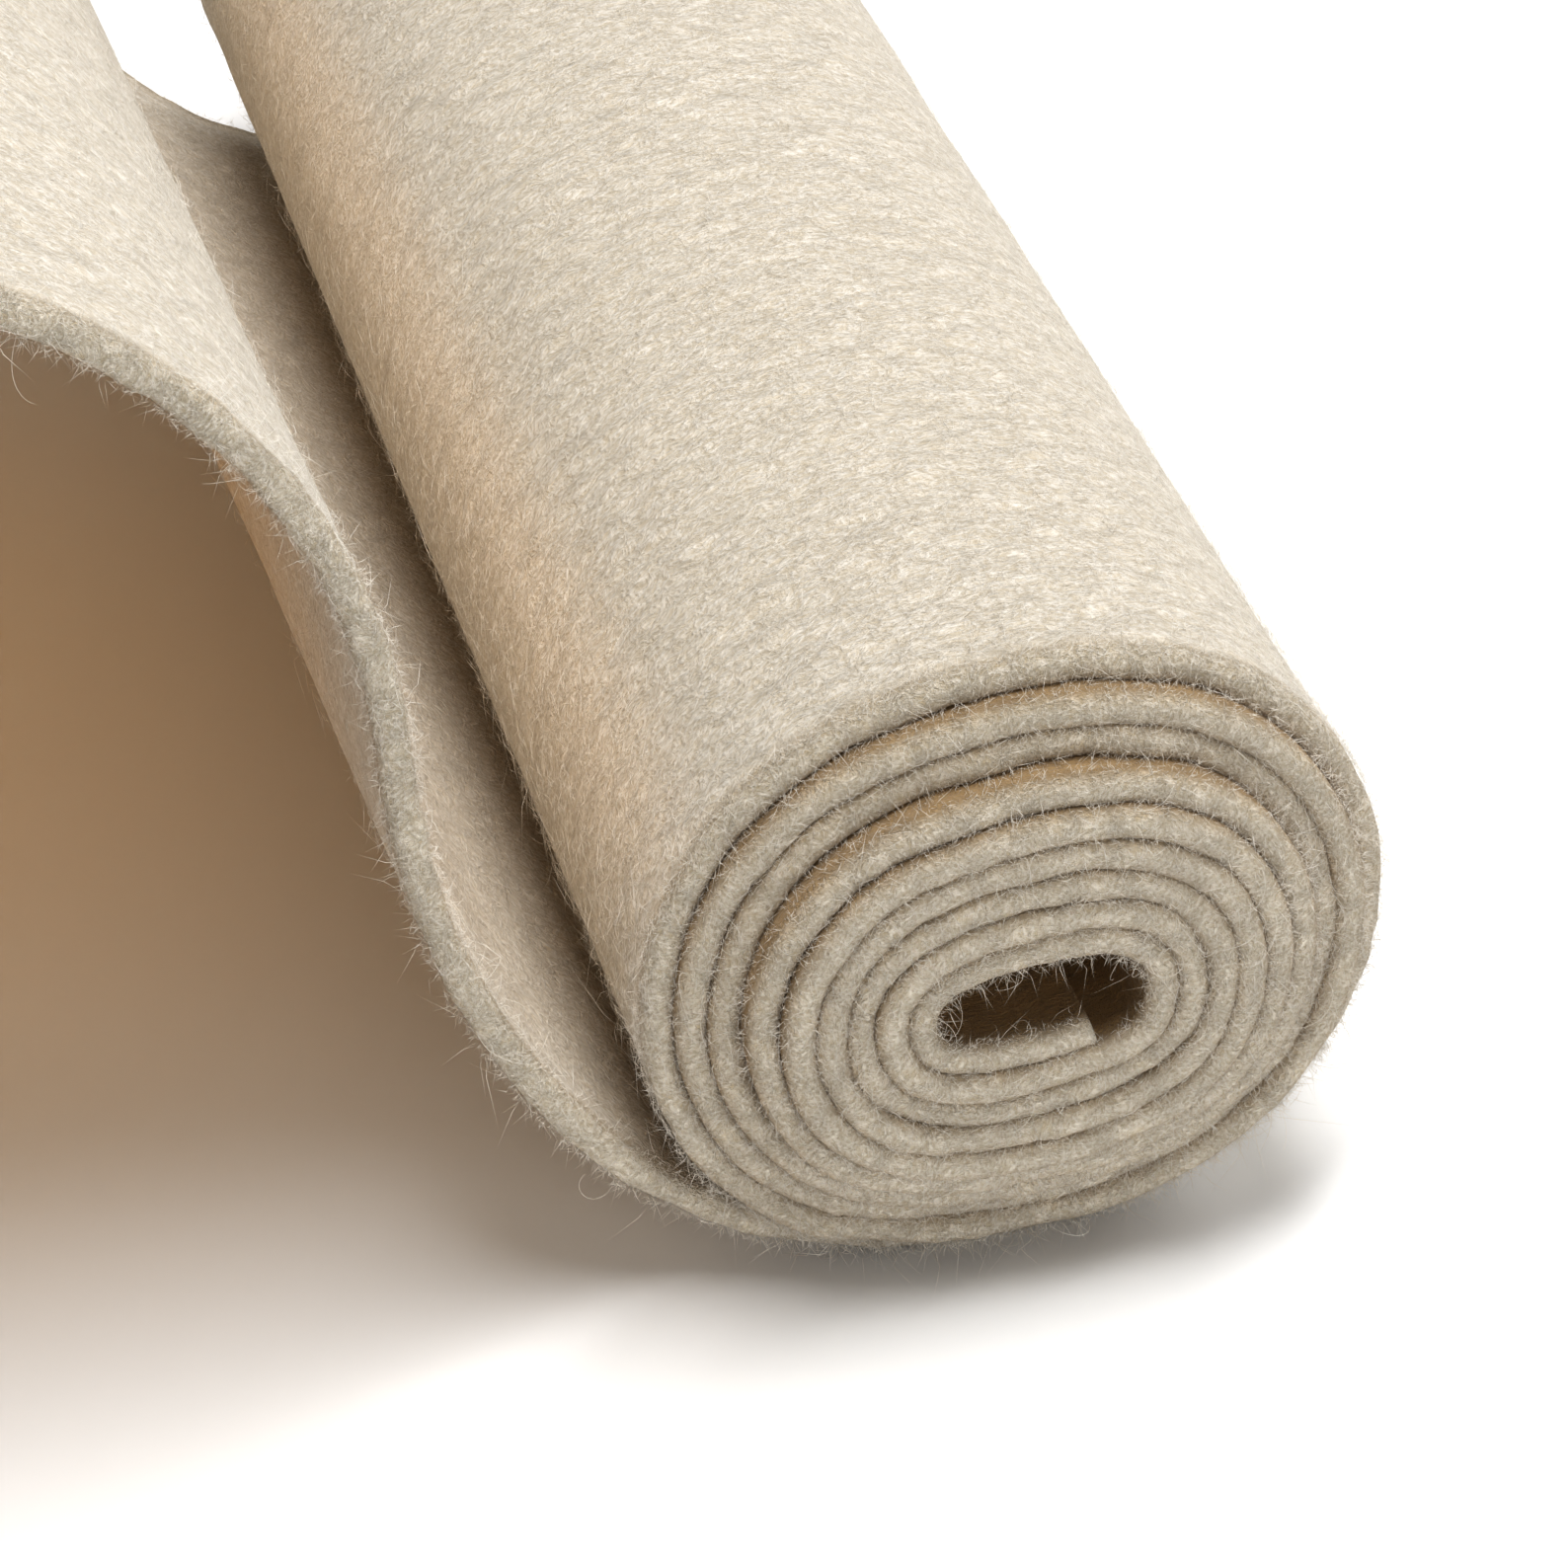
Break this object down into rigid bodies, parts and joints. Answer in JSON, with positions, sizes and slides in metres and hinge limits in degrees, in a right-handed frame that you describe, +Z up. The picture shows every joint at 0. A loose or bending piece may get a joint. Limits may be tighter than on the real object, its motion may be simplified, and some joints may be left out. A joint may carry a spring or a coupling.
{
  "type": "roll of wool felt",
  "caption": "Strip of thick cream wool felt wound in a flat-oval roll, its outer end standing off beside it in an arch with a flat foot.",
  "frame": {"origin": "centre of the footprint, on the surface that the roll rests on", "axes": "+X from the loose end's foot to the roll, +Y along the roll from its near end, where the middle stands out, to its far end, +Z up"},
  "size_m": [0.2876, 0.264, 0.1305],
  "materials": {
    "wool_felt": "matt, hairy wool felt"
  },
  "bodies": {
    "root": {"felt_roll": "wool_felt"}
  },
  "joints": []
}
